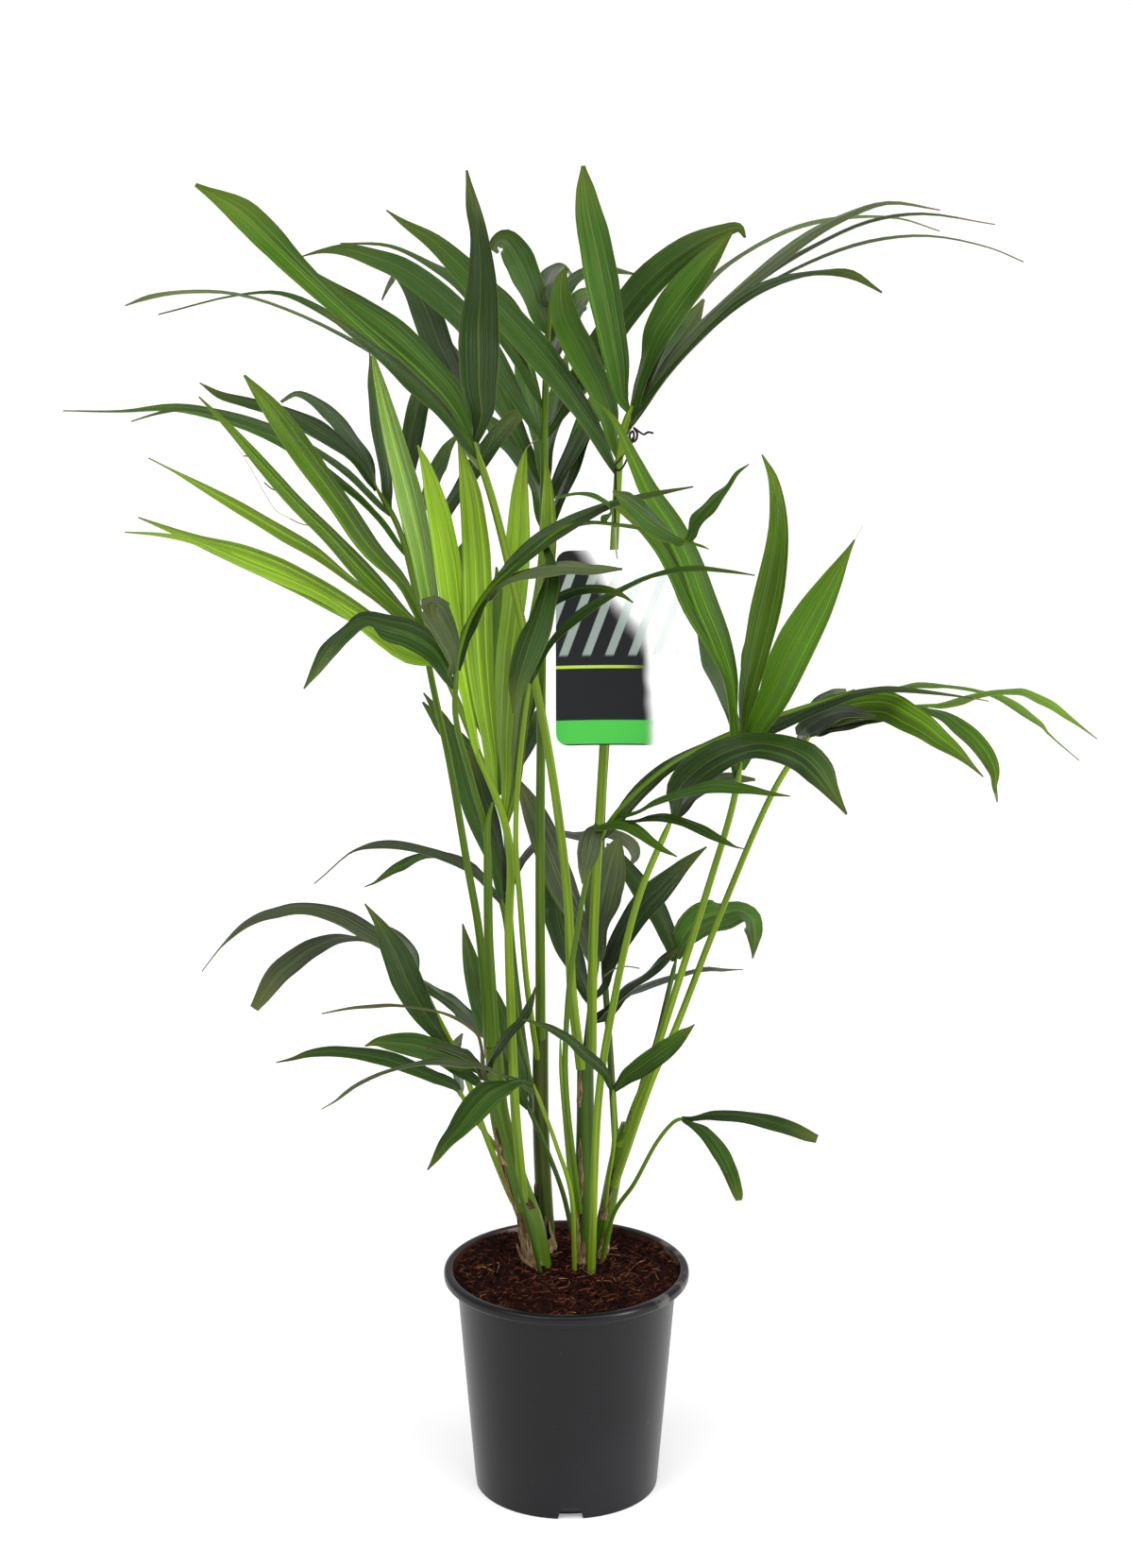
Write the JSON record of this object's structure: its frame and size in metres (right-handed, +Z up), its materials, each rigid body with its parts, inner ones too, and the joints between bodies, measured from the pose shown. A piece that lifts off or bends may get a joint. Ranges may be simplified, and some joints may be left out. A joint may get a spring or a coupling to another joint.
{
  "type": "potted kentia palm",
  "caption": "Clump of young kentia palms with upright and arching feather fronds, growing in a round black nursery pot with a hang tag tied to a frond stalk.",
  "frame": {"origin": "middle of the pot's flat underside", "axes": "+Z up along the pot's axis, -Y towards someone who faces the side with the hang tag"},
  "size_m": [0.9981, 0.8004, 1.3105],
  "materials": {
    "pot": "satin",
    "soil": "rough",
    "stem": "satin",
    "frond_dark": "satin",
    "frond_bright": "satin",
    "tag": "satin",
    "tie": "satin"
  },
  "bodies": {
    "root": {"pot": "pot", "soil": "soil", "stem_left": "stem", "stem_back": "stem", "stem_middle": "stem", "stem_right": "stem", "young_spear": "stem", "frond_young_left": "frond_bright", "frond_right": "frond_bright", "frond_high_left": "frond_dark", "frond_high_middle": "frond_dark", "frond_high_right": "frond_dark", "frond_left": "frond_dark", "frond_far_right": "frond_dark", "frond_near_right": "frond_dark", "frond_arching": "frond_dark", "frond_low_right": "frond_dark", "frond_inner": "frond_dark", "frond_near_left": "frond_dark", "frond_near_middle": "frond_dark", "frond_mid_left": "frond_dark", "frond_low_left": "frond_dark", "frond_lower_left": "frond_dark", "frond_thin_left": "frond_dark", "leaf_front": "frond_dark", "leaf_behind": "frond_dark", "leaf_pair_middle": "frond_dark", "leaf_pair_right": "frond_dark", "frond_rear_high": "frond_dark", "frond_rear_left": "frond_dark", "frond_rear_right": "frond_dark", "tag": "tag", "tag_tie": "tie"}
  },
  "joints": []
}
